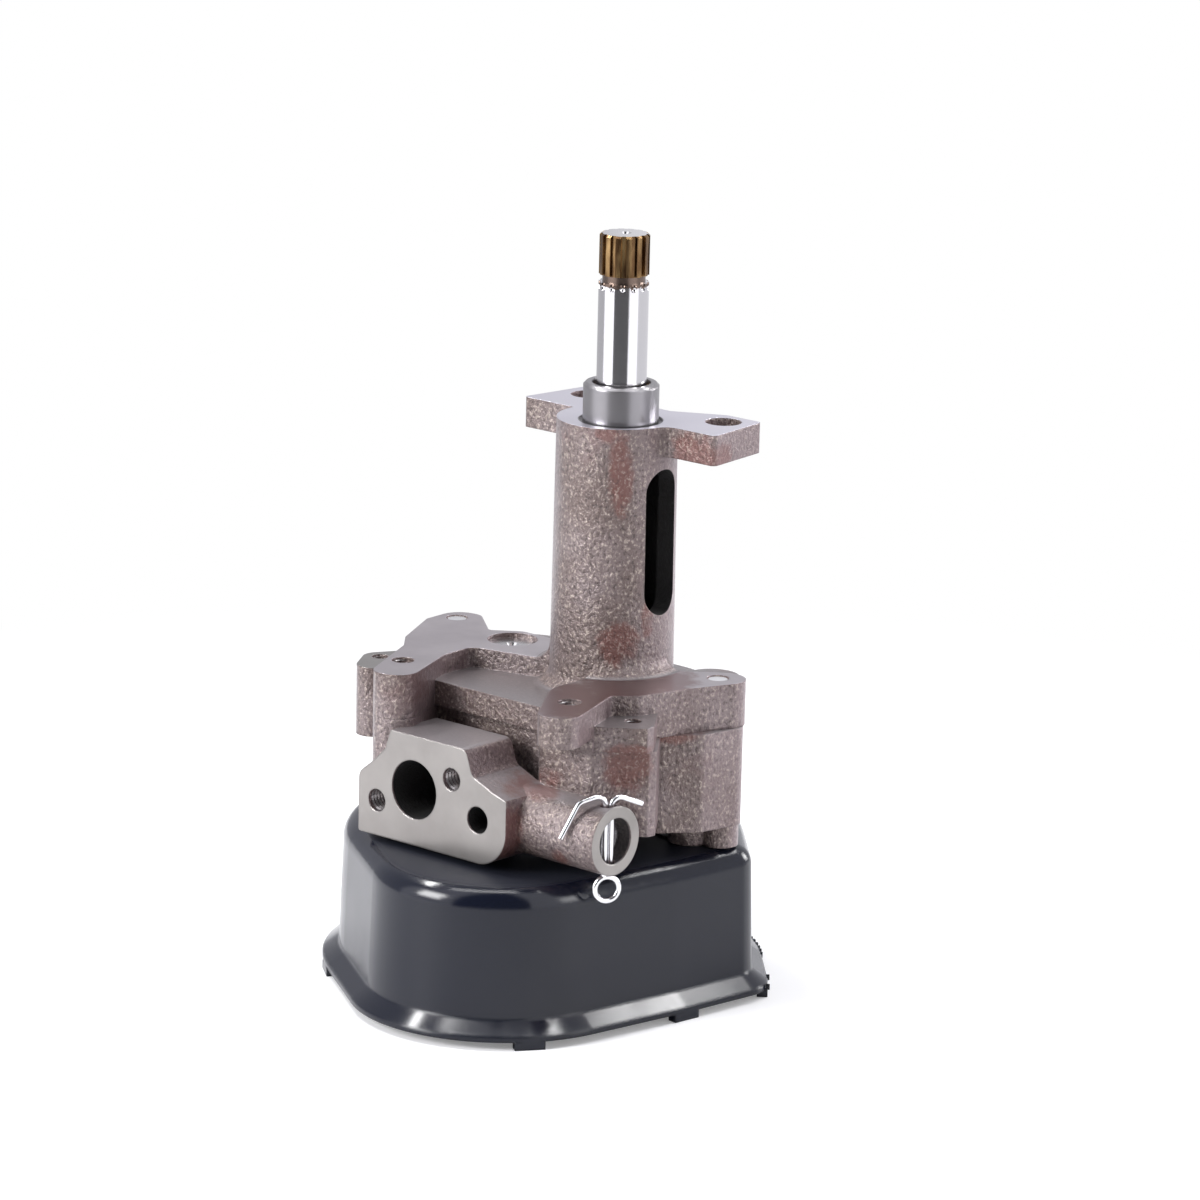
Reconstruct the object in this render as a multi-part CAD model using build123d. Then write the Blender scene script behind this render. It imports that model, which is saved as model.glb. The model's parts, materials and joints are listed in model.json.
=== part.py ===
import os
from math import acos, cos, pi, radians, sin, tan

from build123d import *

# Frame: origin on the drive shaft's axis in the machined flange face, +Z up the shaft,
# the outlet face looks along -Y and the relief valve opens along +X.

# Heights, measured from the flange face
shaft_top = 55.2
spline_length = 12.0
neck_length = 2.2
pilot_height = 11.2
ear_thickness = 9.0
pad_level = -74.0
plate_level = -80.0
nose_level = -83.3
parting_level = -87.5
housing_bottom = -117.0
bearing_boss_drop = 4.0
foot_level = -124.5

# Shaft and gear pair
shaft_radius = 7.35
neck_radius = 6.3
spline_teeth = 14
spline_depth = 0.95
spline_runout = 2.6
shaft_chamfer = 0.6
centre_distance = 40.6
gear_teeth = 10
pressure_angle = 28.0
gear_width = 22.0
gear_addendum = 3.75
gear_dedendum = 4.3
backlash = 0.5
gear_end_clearance = 0.15
gear_tip_clearance = 0.3
key_width = 4.0
key_height = 4.0
key_length = 16.0

# Bushes and running fits
bush_wall = 1.25
running_fit = 0.05
upper_bush_length = 20.0
upper_bush_recess = 3.0
lower_bush_length = 18.0
tail_bush_length = 10.5
idler_shaft_recess = 1.5
idler_shaft_tail = 5.0
idler_mouth_radius = 7.6

# Tower and pilot
pilot_radius = 11.15
pilot_chamfer = 0.8
pilot_groove_width = 1.2
pilot_groove_depth = 0.8
tower_x = -2.8
tower_y = 1.8
tower_top_radius = 17.8
tower_foot_radius = 18.4
tower_wall = 5.2
tower_base_fillet = 5.0
window_width = 13.4
window_top = -13.0
window_bottom = -56.5
window_y = 2.6
core_margin = 5.0

# Flange ears
ear_axis_x = -3.3
ear_hole_y = 19.4
ear_hole_pitch = 52.4
ear_hole_radius = 5.4
ear_front_y = 2.6
ear_back_y = 27.3
ear_reach = 37.2
ear_corner_radius = 1.6
ear_back_radius = 6.0
ear_web_radius = 4.5

# Fasteners
dowel_radius = 3.3
dowel_length = 24.0
dowel_sink = 0.25
m8_radius = 4.0
m8_tap_radius = 3.4
m8_clearance_radius = 4.4
m8_head_height = 5.3
m8_head_flats = 13.0
m6_radius = 3.0
m6_tap_radius = 2.5
m6_clearance_radius = 3.3
m6_head_height = 4.0
m6_head_flats = 10.0
m6_thread_depth = 10.0
washer_thickness = 1.8
washer_margin = 2.4
head_chamfer = 0.6

# Places on the housings, as seen from above
idler_centre = (-centre_distance, 0.0)
left_stud = (-46.6, -41.5)
right_stud = (18.8, -41.1)
dowel_places = ((-69.8, 7.0), (31.3, 10.2))
housing_bolt_places = ((-54.0, -29.0), (20.0, -24.0), (-36.0, 30.6), (14.0, 28.5))
shelf_hole = (30.8, -26.9)
side_lug_place = (-60.6, -36.5)
side_lug_front = (-55.9, -44.0)
side_lug_radius = 5.2
side_lug_level = -76.5
side_lug_depth = 12.9
strainer_bolt_places = ((24.0, 8.0), (-63.5, 6.0), (-12.0, -40.0))
dowel_pad_radius = 7.6
bolt_lug_radius = 8.0
right_lobe = (32.7, 10.9, 6.7)
arm_root_y = -40.5
arm_column_y = -20.0
stud_tap_depth = 8.8
side_lug_gap = 0.5
plate_front_y = -35.0
housing_front_y = -32.5
pocket_wall = 6.0

# Outlines seen from above, as corners with their radii
left_pad_corners = (
    (-43.9, -59.4, 6.2), (-32.2, -53.5, 6.2), (-42.3, -28.5, 10.0), (-43.2, -15.6, 4.0),
    (-8.0, -7.7, 0.5), (-8.0, 8.6, 0.5), (-44.6, 9.3, 5.0), (-53.0, 3.0, 1.5), (-66.8, 14.7, 5.0),
    (-76.0, 13.6, 6.5), (-75.3, -0.5, 2.5), (-64.8, -21.2, 4.0), (-58.4, -28.6, 1.0),
)
right_pad_corners = (
    (22.3, -59.6, 5.5), (32.7, -54.7, 5.5), (22.6, -27.4, 2.0), (28.4, -22.0, 4.0), (33.0, -6.0, 8.0),
    (39.3, 10.0, 0.5), (27.5, 15.4, 0.5), (5.0, -3.0, 0.5), (4.9, -14.0, 0.5), (5.0, -34.0, 14.0),
)
shelf_corners = (
    (6.0, -30.0, 1.0), (10.0, -43.0, 3.0), (16.0, -46.2, 2.0), (29.0, -38.4, 3.0), (39.5, -30.4, 0.8),
    (38.9, -27.0, 0.8), (29.2, -14.0, 1.0), (10.0, -8.0, 1.0),
)
block_corners = (
    (15.0, -16.0, 1.0), (29.5, -13.0, 2.5), (37.5, -3.0, 4.0), (40.6, 12.0, 5.0), (32.0, 19.0, 4.0),
    (15.0, 24.0, 2.5),
)
lobe_corners = (
    (4.0, -20.0, 1.0), (4.0, -38.5, 2.0), (24.0, -38.5, 4.0), (38.9, -28.9, 0.8), (39.4, -26.0, 0.8),
    (29.5, -13.0, 1.0), (15.0, -8.0, 1.0),
)
lobe_bottom = -112.8

# Outlet boss, on its own machined face
outlet_face_y = -57.8
outlet_x = -26.2
outlet_z = -106.3
outlet_radius = 8.85
outlet_bolt_dx = 14.8
outlet_bolt_dz = 6.2
outlet_bolt_depth = 13.0
outlet_top = -90.0
outlet_foot = -123.2
outlet_left = -48.4
outlet_right = 10.0
outlet_top_left = -35.8
outlet_top_right = -6.0
outlet_notch_x = -42.4
outlet_notch_z = -100.5
outlet_shoulder_z = -105.2
outlet_step_z = -100.9
outlet_corner_radius = 11.0
outlet_drill_end = -24.6
outlet_core_radius = 6.0
outlet_notch_radius = 4.0

# Relief valve
valve_y = -43.0
valve_z = -111.0
valve_end_x = 39.1
valve_barrel_radius = 10.25
valve_bore_radius = 6.85
valve_seat_radius = 5.0
valve_seat_x = 4.0
valve_chamber_length = 10.0
valve_feed_x = -1.0
valve_feed_radius = 4.0
valve_feed_z = -110.2
valve_travel = 7.0
plunger_length = 15.0
plunger_fit = 0.04
plunger_wall = 2.0
plunger_floor = 3.0
plunger_nose_radius = 4.6
plunger_nose_length = 1.0
spill_hole_radius = 3.2
pin_setback = 2.95
seat_setback = 4.35
seat_length = 7.0
seat_wall = 1.2
seat_fit = 0.1
spring_wire = 1.4
spring_turns = 5
spring_gap = 0.4

# Split pin
pin_wire_radius = 0.85
pin_leg_spacing = 0.9
pin_crown = 3.3
pin_eye_gap = 1.0
pin_long_leg = ((-8.0, -2.2), (-13.3, -12.3))
pin_short_leg = ((9.3, -3.6),)
pin_bend_radius = 2.6
pin_turn = -30.0
pin_eye_radius = 3.6
pin_hole_clearance = 0.4

# Suction neck and strainer
neck_place = (-19.0, 17.5)
suction_radius = 9.5
suction_boss_radius = 13.2
suction_port_top = -95.0
foot_radius = 6.5
end_foot = (32.6, 11.6, 5.4)
gasket_thickness = 0.5
gasket_web = 8.0
pan_sheet = 1.5
pan_rounds = ((-7.5, -39.8, 38.5), (-22.7, -3.9, 60.0), (31.7, 14.1, 8.5))
pan_middle = (-13.5, -20.0)
pan_draft = 1.2
pan_depth = 38.5
pan_edge_radius = 6.0
flange_flare = 4.9
flange_drop = 3.6
flange_lip = 1.6
tab_width = 9.0
tab_depth = 2.4
tab_reach = 3.2
tab_angles = (-128, -36, -8, 40, 75, 110, 145, 180)
screen_thickness = 0.8
screen_margin = 1.2
frame_bar = 5.0
frame_bar_length = 240.0
frame_thickness = 1.2

m8_thread_depth = plate_level - parting_level
pan_top = foot_level - gasket_thickness
flange_level = pan_top - pan_depth
rim_level = flange_level - flange_drop
lip_level = rim_level - flange_lip
pocket_radius = centre_distance / 2 + gear_addendum + gear_tip_clearance
pocket_floor = parting_level - gear_width - gear_end_clearance
bush_radius = shaft_radius + running_fit + bush_wall


def cylinder_between(place, radius, low, high):
    """Upright cylinder at (x, y) between two heights."""
    height = high - low
    return Pos(place[0], place[1], low + height / 2) * Cylinder(radius, height)


def hull_of(*rounds):
    """Flat outline stretched round circles given as (x, y, radius)."""
    edges = []
    for x, y, radius in rounds:
        edges += (Pos(x, y) * Circle(radius)).edges()
    return make_hull(edges)


def prism(outline, low, high):
    """Outline raised between two heights."""
    return extrude(Pos(0, 0, low) * outline, high - low)


def at(place, radius):
    return (place[0], place[1], radius)


def along_y(x, z, radius, start, end):
    """Cylinder parallel to the Y axis."""
    length = end - start
    return Pos(x, start + length / 2, z) * Rot(90, 0, 0) * Cylinder(radius, length)


def along_x(y, z, radius, start, end):
    """Cylinder parallel to the X axis."""
    length = end - start
    return Pos(start + length / 2, y, z) * Rot(0, 90, 0) * Cylinder(radius, length)


def rounded_outline(corners):
    """Closed flat outline through corners given as (x, y, corner radius)."""
    with BuildSketch() as face:
        with BuildLine():
            places = [(x, y) for x, y, radius in corners]
            FilletPolyline(*places, radius=[radius for x, y, radius in corners], close=True)
        make_face()
    return face.sketch


# Gears

def polar(radius, angle):
    return (radius * cos(angle), radius * sin(angle))


def flank_angle(radius, base_radius):
    """Involute function of the point at this radius."""
    slope = acos(min(1.0, base_radius / radius))
    return tan(slope) - slope


def tooth_edges(middle, root, base, tip, pitch):
    """One tooth and the root arc that follows it."""
    half_at_pitch = pi / (2 * gear_teeth) - backlash / (4 * pitch)
    half_at_base = half_at_pitch + flank_angle(pitch, base)

    def side(radius, sign):
        return polar(radius, middle + sign * (half_at_base - flank_angle(radius, base)))

    waist = (base + tip) / 2
    foot_right = polar(root, middle - half_at_base)
    foot_left = polar(root, middle + half_at_base)
    next_foot = polar(root, middle + 2 * pi / gear_teeth - half_at_base)
    return [
        Line(foot_right, side(base, -1)),
        ThreePointArc(side(base, -1), side(waist, -1), side(tip, -1)),
        ThreePointArc(side(tip, -1), polar(tip, middle), side(tip, 1)),
        ThreePointArc(side(tip, 1), side(waist, 1), side(base, 1)),
        Line(side(base, 1), foot_left),
        ThreePointArc(foot_left, polar(root, middle + pi / gear_teeth), next_foot),
    ]


def gear_blank(first_tooth):
    """Spur gear at the origin, its top just under the parting face."""
    pitch = centre_distance / 2
    base = pitch * cos(radians(pressure_angle))
    edges = []
    for index in range(gear_teeth):
        middle = first_tooth + index * 2 * pi / gear_teeth
        edges += tooth_edges(middle, pitch - gear_dedendum, base, pitch + gear_addendum, pitch)
    outline = make_face(edges)
    top = parting_level - gear_end_clearance / 2
    return prism(outline, top - gear_width, top)


def key_block(growth=0.0):
    top = parting_level - gear_end_clearance / 2 - (gear_width - key_length) / 2
    block = Box(key_height + growth, key_width + growth, key_length + growth)
    return Pos(shaft_radius, 0, top - key_length / 2) * block


def drive_gear():
    gear = gear_blank(0.0)
    gear -= cylinder_between((0, 0), shaft_radius, parting_level - 2 * gear_width, parting_level)
    return gear - key_block()


def idler_gear():
    gear = gear_blank(pi / gear_teeth)
    gear -= cylinder_between((0, 0), bush_radius, parting_level - 2 * gear_width, parting_level)
    return Pos(idler_centre[0], idler_centre[1]) * gear


# Shafts

def spline_groove():
    """Cross-section of one space between spline teeth, at the +X side."""
    half_mouth = 0.62 * pi * shaft_radius / spline_teeth
    inner = shaft_radius - spline_depth
    outer = shaft_radius + 0.5
    return Polygon((inner, -half_mouth / 2), (outer, -half_mouth), (outer, half_mouth),
                   (inner, half_mouth / 2), align=None)


def drive_shaft():
    tail_end = housing_bottom - bearing_boss_drop + 1.0
    shaft = cylinder_between((0, 0), shaft_radius, tail_end, shaft_top)
    shaft = chamfer(shaft.edges().filter_by(GeomType.CIRCLE), shaft_chamfer)
    spline_foot = shaft_top - spline_length
    neck_foot = spline_foot - neck_length
    neck = cylinder_between((0, 0), 2 * shaft_radius, neck_foot, spline_foot)
    neck -= cylinder_between((0, 0), neck_radius, neck_foot, spline_foot)
    shaft -= neck
    groove = prism(spline_groove(), neck_foot, shaft_top + 1.0)
    runout = Pos(shaft_radius + 0.35, 0, neck_foot) * Sphere(1.0)
    runout += Pos(shaft_radius + 0.35, 0, neck_foot - spline_runout / 2) * Sphere(1.0)
    for index in range(spline_teeth):
        turn = Rot(0, 0, index * 360 / spline_teeth)
        shaft -= turn * groove
        shaft -= turn * runout
    shaft -= Pos(0, 0, shaft_top - 1.0) * Cone(0.4, 1.9, 2.0)
    return shaft - key_block()


def idler_shaft():
    top = pad_level - idler_shaft_recess
    shaft = cylinder_between(idler_centre, shaft_radius, housing_bottom + 1.0, top)
    shaft = chamfer(shaft.edges().filter_by(GeomType.CIRCLE), shaft_chamfer)
    return shaft - Pos(idler_centre[0], idler_centre[1], top - 1.0) * Cone(0.4, 1.9, 2.0)


def bush(place, outer, inner, low, high):
    sleeve = cylinder_between(place, outer, low, high)
    return sleeve - cylinder_between(place, inner, low, high)


# Tower housing

def top_flange():
    """Two-eared flange seen from above, with the tower's own circle."""
    left = ear_axis_x - ear_reach
    right = ear_axis_x + ear_reach
    bar = Polygon((left, ear_front_y), (right, ear_front_y), (right - 3.0, ear_back_y),
                  (right - 16.0, ear_back_y), (ear_axis_x + 6.0, ear_hole_y), (ear_axis_x - 6.0, ear_hole_y),
                  (left + 16.0, ear_back_y), (left + 3.0, ear_back_y), align=None)
    outer = [v for v in bar.vertices() if abs(v.X - ear_axis_x) > ear_reach - 4.0]
    bar = fillet([v for v in outer if v.Y < ear_hole_y], ear_corner_radius)
    bar = fillet([v for v in bar.vertices() if v.Y > ear_back_y - 0.1], ear_corner_radius)
    outline = bar + Pos(tower_x, tower_y) * Circle(tower_top_radius)
    inner = [v for v in outline.vertices() if abs(v.Y - ear_front_y) < 0.01 and v.X > tower_x]
    outline = fillet([v for v in inner if v.X < tower_x + tower_top_radius + 1], ear_web_radius)
    return prism(outline, -ear_thickness, 0)


def right_pads():
    """Right stud's arm and the lobe round the right dowel."""
    x, y, radius = right_lobe
    return rounded_outline(right_pad_corners) + Pos(x, y) * Circle(radius)


def pad_outline():
    """Machined pads and the ridges between them."""
    return rounded_outline(left_pad_corners) + right_pads()


def half_plane(y, side):
    """Everything in front of the line at y (side -1) or behind it (side 1)."""
    return Pos(0, y + side * 100) * Rectangle(200, 200)


def plate_outline():
    """Base plate under the pads, out to the gear pockets' walls and the shelf."""
    front = hull_of((-44.0, plate_front_y + 4.0, 4.0), (12.0, plate_front_y + 4.0, 4.0), (0, 0, 10.0))
    reach = pocket_radius + pocket_wall
    pockets = hull_of(at(idler_centre, reach), (0, 0, reach))
    outline = rounded_outline(left_pad_corners) + (right_pads() & half_plane(arm_root_y, 1))
    outline += pockets + front + rounded_outline(shelf_corners)
    for place in housing_bolt_places[2:]:
        outline += hull_of(at(place, bolt_lug_radius), (place[0], 0, 12.0))
    return outline


def foot_ring(level):
    """Concave fillet ring round the tower's foot, standing on this level."""
    radius = tower_foot_radius
    size = tower_base_fillet
    with BuildSketch(Plane.XZ) as section:
        with BuildLine():
            Line((0, 0), (radius + size, 0))
            RadiusArc((radius + size, 0), (radius, size), size)
            Line((radius, size), (0, size))
            Line((0, size), (0, 0))
        make_face()
    return Pos(tower_x, tower_y, level) * revolve(section.sketch, Axis.Z)


def tower_foot():
    """Tower's fillets on the machined pads and, between them, on the plate."""
    on_pads = foot_ring(pad_level) & prism(pad_outline(), pad_level, pad_level + tower_base_fillet)
    return foot_ring(plate_level) + on_pads


def tower_core():
    """Cored hollow between the two shaft bearings, rounded at both ends."""
    radius = tower_top_radius - tower_wall
    top = -(upper_bush_length + upper_bush_recess - pilot_height)
    bottom = parting_level + lower_bush_length
    core = cylinder_between((tower_x, tower_y), radius, bottom, top)
    return fillet(core.edges().filter_by(GeomType.CIRCLE), 2.5)


def tower_window():
    """Full-round slot through the tower's +X wall."""
    height = window_top - window_bottom
    slot = Plane.YZ.offset(tower_x) * Pos(window_y, (window_top + window_bottom) / 2) * Rot(0, 0, 90)
    return extrude(slot * SlotOverall(height, window_width), 2 * tower_foot_radius)


def pilot():
    spigot = cylinder_between((0, 0), pilot_radius, -1.0, pilot_height)
    spigot = chamfer(spigot.edges().filter_by(GeomType.CIRCLE).sort_by(Axis.Z)[-1:], pilot_chamfer)
    return spigot


def pilot_groove():
    """Relief groove in the flange face round the pilot's foot."""
    return bush((0, 0), pilot_radius + pilot_groove_width, pilot_radius, -pilot_groove_depth, 1.0)


def tower_housing():
    body = Pos(tower_x, tower_y, plate_level / 2) * Cone(tower_foot_radius, tower_top_radius, -plate_level)
    body += top_flange()
    body += prism(plate_outline(), parting_level, plate_level)
    body += prism(pad_outline(), nose_level, pad_level)
    body += tower_foot()
    body -= pilot_groove()
    body += pilot()
    body -= tower_core()
    body -= tower_window()
    body -= cylinder_between((0, 0), bush_radius, parting_level - 1, pilot_height + 1)
    for side in (-1, 1):
        place = (ear_axis_x + side * ear_hole_pitch / 2, ear_hole_y)
        body -= cylinder_between(place, ear_hole_radius, -ear_thickness - 1, 1)
    for place in (left_stud, right_stud):
        body -= cylinder_between(place, m8_tap_radius, pad_level - stud_tap_depth, pad_level + 1)
    for place in housing_bolt_places:
        body -= cylinder_between(place, m8_tap_radius, parting_level - 1, parting_level + m8_thread_depth)
    for place in dowel_places:
        body -= cylinder_between(place, dowel_radius, parting_level - 1, pad_level + 1)
    body -= cylinder_between(shelf_hole, m6_tap_radius, parting_level - 1, plate_level + 1)
    body -= cylinder_between(idler_centre, shaft_radius, parting_level - 1, pad_level + 1)
    body -= cylinder_between(idler_centre, idler_mouth_radius, pad_level - idler_shaft_recess, pad_level + 1)
    return body


# Gear housing

def housing_outline():
    reach = pocket_radius + pocket_wall
    outline = hull_of(at(idler_centre, reach), (0, 0, reach))
    outline += hull_of(at(dowel_places[0], dowel_pad_radius + 0.8), at(idler_centre, reach - 8.0))
    outline += hull_of((-50.0, housing_front_y + 8.0, 8.0), (16.0, housing_front_y + 8.0, 8.0))
    outline += rounded_outline(block_corners)
    outline += hull_of(at(housing_bolt_places[0], bolt_lug_radius), (-40.0, -20.0, 10.0))
    for place in housing_bolt_places[2:]:
        outline += hull_of(at(place, bolt_lug_radius), (place[0], 0, 12.0))
    return outline


def outlet_outline():
    """Outline of the machined outlet face, in X and Z."""
    return rounded_outline((
        (outlet_top_left, outlet_top, 0.6),
        (outlet_top_right, outlet_top, 3.0),
        (outlet_top_right + 2.5, outlet_step_z + 3.5, 3.0),
        (outlet_right - 5.0, outlet_step_z, 0.8),
        (outlet_right, outlet_step_z - 1.5, 0.6),
        (outlet_right, outlet_foot, outlet_corner_radius),
        (outlet_left, outlet_foot, 0.8),
        (outlet_left, outlet_shoulder_z, outlet_notch_radius),
        (outlet_notch_x, outlet_notch_z, 3.0),
        (outlet_notch_x + 4.5, outlet_top - 6.0, 0.6),
    ))


def outlet_boss():
    boss = Plane((0, outlet_face_y, 0), x_dir=(1, 0, 0), z_dir=(0, -1, 0)) * outlet_outline()
    return extrude(boss, housing_front_y - 6.0 - outlet_face_y, dir=(0, 1, 0))


def front_lobe():
    """Wall under the plate's shelf, standing on the valve's barrel."""
    return prism(rounded_outline(lobe_corners), lobe_bottom, parting_level)


def arm_column():
    """Column that carries the left stud's arm, flush with its pad, down to the outlet boss."""
    arm = rounded_outline(left_pad_corners) & half_plane(arm_column_y, -1)
    return prism(arm, outlet_notch_z - 6.0, parting_level)


def side_lug():
    """Raised tapped lug outside the left stud, a little below the pads."""
    front = at(side_lug_front, side_lug_radius)
    outline = hull_of(at(side_lug_place, side_lug_radius), front, (-54.0, -25.0, side_lug_radius))
    lug = prism(outline, outlet_notch_z + 3.0, side_lug_level)
    reach = pocket_radius + pocket_wall + side_lug_gap
    clear = offset(rounded_outline(left_pad_corners), side_lug_gap) + Pos(*idler_centre) * Circle(reach)
    return lug - prism(clear, parting_level, pad_level + 1)


def valve_bores():
    end = valve_end_x
    bores = along_x(valve_y, valve_z, valve_bore_radius, valve_seat_x, end + 1)
    bores += along_x(valve_y, valve_z, valve_seat_radius, valve_seat_x - valve_chamber_length, valve_seat_x + 1)
    bores += along_y(valve_feed_x, valve_feed_z, valve_feed_radius, outlet_face_y - 1, valve_y)
    spill_x = valve_seat_x + valve_travel / 2 + 0.5
    bores += cylinder_between((spill_x, valve_y), spill_hole_radius, valve_z - 2 * valve_barrel_radius, valve_z)
    hole = 2 * pin_wire_radius + pin_leg_spacing / 2 + pin_hole_clearance
    pin_place = (valve_end_x - pin_setback, valve_y)
    reach = 1.3 * valve_barrel_radius
    return bores + cylinder_between(pin_place, hole, valve_z - reach, valve_z + reach)


def feet():
    """Posts that stand on the pan: one at each strainer bolt and one at the right end."""
    left = hull_of(at(strainer_bolt_places[1], foot_radius), at(dowel_places[0], foot_radius))
    posts = prism(left, foot_level, housing_bottom + 1)
    for place in (strainer_bolt_places[0], strainer_bolt_places[2]):
        posts += cylinder_between(place, foot_radius, foot_level, housing_bottom + 1)
    return posts + prism(hull_of(end_foot), foot_level, housing_bottom + 1)


def gear_housing():
    body = prism(housing_outline(), housing_bottom, parting_level)
    body += outlet_boss()
    body += arm_column()
    body += front_lobe()
    body += side_lug()
    body += along_x(valve_y, valve_z, valve_barrel_radius, 0, valve_end_x)
    body += cylinder_between(neck_place, suction_boss_radius, foot_level, housing_bottom + 1)
    body += cylinder_between((0, 0), bush_radius + 4.5, housing_bottom - bearing_boss_drop, housing_bottom + 1)
    body += feet()
    for place in (idler_centre, (0, 0)):
        body -= cylinder_between(place, pocket_radius, pocket_floor, parting_level + 1)
    body -= cylinder_between((0, 0), bush_radius, housing_bottom - bearing_boss_drop - 1, parting_level)
    body -= cylinder_between(idler_centre, shaft_radius, housing_bottom + 1.0, parting_level)
    body -= cylinder_between(neck_place, suction_radius, foot_level - 1, suction_port_top)
    body -= along_y(outlet_x, outlet_z, outlet_radius, outlet_face_y - 1, outlet_drill_end)
    body -= along_y(outlet_x, outlet_z, outlet_core_radius, outlet_drill_end - 1, -14.0)
    for side in (-1, 1):
        x = outlet_x + side * outlet_bolt_dx
        z = outlet_z + side * outlet_bolt_dz
        body -= along_y(x, z, m8_tap_radius, outlet_face_y - 1, outlet_face_y + outlet_bolt_depth)
    body -= valve_bores()
    for place in housing_bolt_places:
        body -= cylinder_between(place, m8_clearance_radius, foot_level - 1, parting_level + 1)
    for place in dowel_places:
        body -= cylinder_between(place, dowel_radius, pad_level - dowel_sink - dowel_length, parting_level + 1)
    for place in strainer_bolt_places:
        body -= cylinder_between(place, m6_tap_radius, foot_level - 1, foot_level + m6_thread_depth + 1)
    body -= cylinder_between(side_lug_place, m6_tap_radius, side_lug_level - side_lug_depth, pad_level)
    return body


# Relief valve pieces

def relief_plunger():
    radius = valve_bore_radius - plunger_fit
    start = valve_seat_x
    end = start + plunger_length
    plunger = along_x(valve_y, valve_z, radius, start, end)
    plunger -= along_x(valve_y, valve_z, radius - plunger_wall, start + plunger_floor, end + 1)
    plunger += along_x(valve_y, valve_z, plunger_nose_radius, start - plunger_nose_length, start + 1)
    return plunger


def spring_seat():
    """Cup that takes the spring's end and bears on the split pin."""
    radius = valve_bore_radius - seat_fit
    end = valve_end_x - seat_setback
    start = end - seat_length
    cup = along_x(valve_y, valve_z, radius, start, end)
    return cup - along_x(valve_y, valve_z, radius - seat_wall, start + seat_wall, end + 1)


def relief_spring():
    """Coil spring as closed turns between the plunger's floor and the seat."""
    start = valve_seat_x + plunger_floor + 0.02
    end = valve_end_x - seat_setback - seat_length - 0.02
    radius = valve_bore_radius - plunger_fit - plunger_wall - spring_gap - spring_wire / 2
    pitch = (end - start - spring_wire) / spring_turns
    coil = Helix(pitch, end - start - spring_wire, radius)
    section = Plane(coil @ 0, z_dir=coil % 0) * Circle(spring_wire / 2)
    turns = sweep(section, path=coil)
    return Pos(start + spring_wire / 2, valve_y, valve_z) * Rot(0, 90, 0) * turns


def pin_leg(side, knees):
    """One half of the split pin: up through the barrel, then bent over."""
    foot = -valve_barrel_radius - pin_eye_gap
    crown = valve_barrel_radius + pin_crown
    y = side * pin_leg_spacing
    bends = [(0, y + reach, crown + rise) for reach, rise in knees]
    path = FilletPolyline((0, y, foot), (0, y, crown), *bends, radius=pin_bend_radius)
    return sweep(Plane(path @ 0, z_dir=path % 0) * Circle(pin_wire_radius), path=path)


def split_pin():
    pin = pin_leg(-1, pin_long_leg)
    pin += pin_leg(1, pin_short_leg)
    eye_height = -valve_barrel_radius - pin_eye_gap - pin_eye_radius
    pin += Pos(0, 0, eye_height) * Rot(0, 90, 0) * Torus(pin_eye_radius, pin_wire_radius)
    return Pos(valve_end_x - pin_setback, valve_y, valve_z) * Rot(0, 0, pin_turn) * pin


# Fasteners

def hex_bolt(radius, flats, head_height, head_top, length):
    """Bolt pointing up, its head below head_top."""
    head = prism(RegularPolygon(flats / 2, 6, major_radius=False), head_top - head_height, head_top)
    head = chamfer(head.edges().sort_by(Axis.Z)[:6], head_chamfer)
    shank = cylinder_between((0, 0), radius, head_top - 0.1, head_top + length)
    shank = chamfer(shank.edges().filter_by(GeomType.CIRCLE).sort_by(Axis.Z)[-1:], head_chamfer)
    return head + shank


def ring_set(places, inner, outer, low, high):
    return Compound([bush(place, outer, inner, low, high) for place in places])


def housing_bolts():
    seat = housing_bottom - washer_thickness
    length = parting_level + m8_thread_depth - 1.0 - seat
    bolt = hex_bolt(m8_tap_radius, m8_head_flats, m8_head_height, seat, length)
    return Compound([Pos(x, y) * bolt for x, y in housing_bolt_places])


def strainer_bolts():
    seat = pan_top - pan_sheet - washer_thickness
    length = foot_level + m6_thread_depth - seat
    bolt = hex_bolt(m6_tap_radius, m6_head_flats, m6_head_height, seat, length)
    return Compound([Pos(x, y) * bolt for x, y in strainer_bolt_places])


def dowel_pins():
    top = pad_level - dowel_sink
    pin = cylinder_between((0, 0), dowel_radius, top - dowel_length, top)
    pin = chamfer(pin.edges().filter_by(GeomType.CIRCLE), 0.5)
    return Compound([Pos(x, y) * pin for x, y in dowel_places])


# Strainer

def egg(growth):
    """Pan outline: one line stretched round the pan's circles."""
    return hull_of(*[(x, y, radius + growth) for x, y, radius in pan_rounds])


def pan_shell(inset):
    """Drafted pan body with a rounded top edge, smaller all round by inset."""
    top = pan_top - inset
    high = Pos(0, 0, top) * egg(-inset)
    low = Pos(0, 0, flange_level) * egg(pan_draft - inset)
    body = loft([low, high])
    return fillet(body.edges().group_by(Axis.Z)[-1], pan_edge_radius - inset)


def pan_flange():
    """Flared flange with a short lip hanging from its edge."""
    low = egg(pan_draft + flange_flare)
    flare = loft([Pos(0, 0, rim_level) * low, Pos(0, 0, flange_level) * egg(pan_draft)])
    hollow = loft([Pos(0, 0, rim_level - pan_sheet) * low,
                   Pos(0, 0, flange_level - pan_sheet) * egg(pan_draft - 0.4)])
    lip = prism(low, lip_level, rim_level)
    lip -= prism(egg(pan_draft + flange_flare - pan_sheet), lip_level, rim_level)
    bore = prism(egg(pan_draft - pan_sheet), lip_level, flange_level)
    return (flare - hollow - bore) + lip


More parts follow.
